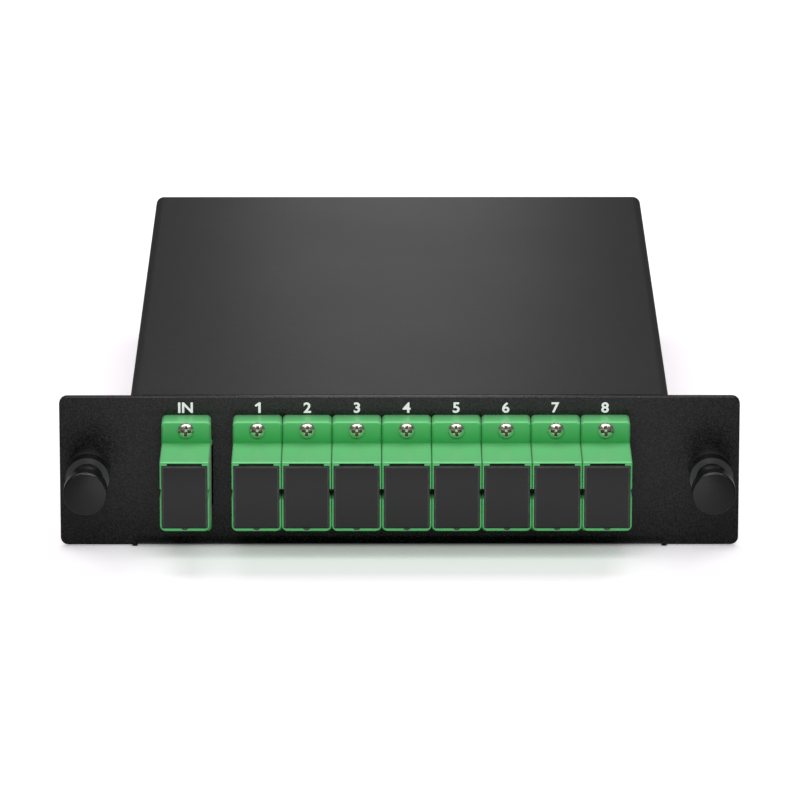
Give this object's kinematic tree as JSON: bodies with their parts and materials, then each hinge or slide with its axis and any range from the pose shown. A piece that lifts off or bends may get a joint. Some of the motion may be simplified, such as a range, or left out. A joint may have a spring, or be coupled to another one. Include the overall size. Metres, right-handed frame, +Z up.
{
  "type": "plc fibre splitter cassette",
  "caption": "Fibre splitter in a flat black steel cassette with a row of green SC/APC adapters, black dust caps and push-pull latches on both ears.",
  "frame": {"origin": "centre of the outer box, on the plane that the base rests on", "axes": "+X to the right along the front panel, +Y from the ports towards the rear wall, +Z up"},
  "size_m": [0.1292, 0.1776, 0.0295],
  "materials": {
    "black_steel": "fine black powder coat",
    "black_zinc": "black zinc",
    "black_nylon": "moulded nylon",
    "green_plastic": "satin moulded",
    "white_plastic": "moulded",
    "cap_plastic": "fine matt moulded",
    "zirconia": "ground",
    "nickel_steel": "nickel plated",
    "module_steel": "plain stainless",
    "potting": "cured resin",
    "foam": "foam tape",
    "fibre_jacket": "buffered fibre jacket"
  },
  "bodies": {
    "cassette": {"front_tray": "black_steel", "top_cover": "black_steel", "cover_screws": "black_zinc", "latch_grommet_left": "black_nylon", "latch_grommet_right": "black_nylon", "split_sleeves": "zirconia", "adapter_screws": "nickel_steel", "adapter_nuts": "nickel_steel", "splitter_case": "module_steel", "splitter_core": "potting", "splitter_pad": "foam", "fibre_saddles": "white_plastic", "input_fibre": "fibre_jacket", "output_fibre_1": "fibre_jacket", "output_fibre_2": "fibre_jacket", "output_fibre_3": "fibre_jacket", "output_fibre_4": "fibre_jacket", "output_fibre_5": "fibre_jacket", "output_fibre_6": "fibre_jacket", "output_fibre_7": "fibre_jacket", "output_fibre_8": "fibre_jacket", "adapter_in": "green_plastic", "latch_inserts_in": "white_plastic", "pigtail_plug_in": "green_plastic", "adapter_1": "green_plastic", "latch_inserts_1": "white_plastic", "pigtail_plug_1": "green_plastic", "adapter_2": "green_plastic", "latch_inserts_2": "white_plastic", "pigtail_plug_2": "green_plastic", "adapter_3": "green_plastic", "latch_inserts_3": "white_plastic", "pigtail_plug_3": "green_plastic", "adapter_4": "green_plastic", "latch_inserts_4": "white_plastic", "pigtail_plug_4": "green_plastic", "adapter_5": "green_plastic", "latch_inserts_5": "white_plastic", "pigtail_plug_5": "green_plastic", "adapter_6": "green_plastic", "latch_inserts_6": "white_plastic", "pigtail_plug_6": "green_plastic", "adapter_7": "green_plastic", "latch_inserts_7": "white_plastic", "pigtail_plug_7": "green_plastic", "adapter_8": "green_plastic", "latch_inserts_8": "white_plastic", "pigtail_plug_8": "green_plastic"},
    "latch_left": {"latch_plunger_left": "black_nylon"},
    "latch_right": {"latch_plunger_right": "black_nylon"},
    "cap_in": {"dust_cap_in": "cap_plastic"},
    "cap_1": {"dust_cap_1": "cap_plastic"},
    "cap_2": {"dust_cap_2": "cap_plastic"},
    "cap_3": {"dust_cap_3": "cap_plastic"},
    "cap_4": {"dust_cap_4": "cap_plastic"},
    "cap_5": {"dust_cap_5": "cap_plastic"},
    "cap_6": {"dust_cap_6": "cap_plastic"},
    "cap_7": {"dust_cap_7": "cap_plastic"},
    "cap_8": {"dust_cap_8": "cap_plastic"}
  },
  "joints": [
    {"name": "latch_left_pull", "type": "slide", "parent": "cassette", "child": "latch_left", "axis": [0, -1, 0], "range_m": [0, 0.0055]},
    {"name": "latch_right_pull", "type": "slide", "parent": "cassette", "child": "latch_right", "axis": [0, -1, 0], "range_m": [0, 0.0055]},
    {"name": "cap_in_pull", "type": "slide", "parent": "cassette", "child": "cap_in", "axis": [0, -1, 0], "range_m": [0, 0.02]},
    {"name": "cap_1_pull", "type": "slide", "parent": "cassette", "child": "cap_1", "axis": [0, -1, 0], "range_m": [0, 0.02]},
    {"name": "cap_2_pull", "type": "slide", "parent": "cassette", "child": "cap_2", "axis": [0, -1, 0], "range_m": [0, 0.02]},
    {"name": "cap_3_pull", "type": "slide", "parent": "cassette", "child": "cap_3", "axis": [0, -1, 0], "range_m": [0, 0.02]},
    {"name": "cap_4_pull", "type": "slide", "parent": "cassette", "child": "cap_4", "axis": [0, -1, 0], "range_m": [0, 0.02]},
    {"name": "cap_5_pull", "type": "slide", "parent": "cassette", "child": "cap_5", "axis": [0, -1, 0], "range_m": [0, 0.02]},
    {"name": "cap_6_pull", "type": "slide", "parent": "cassette", "child": "cap_6", "axis": [0, -1, 0], "range_m": [0, 0.02]},
    {"name": "cap_7_pull", "type": "slide", "parent": "cassette", "child": "cap_7", "axis": [0, -1, 0], "range_m": [0, 0.02]},
    {"name": "cap_8_pull", "type": "slide", "parent": "cassette", "child": "cap_8", "axis": [0, -1, 0], "range_m": [0, 0.02]}
  ]
}
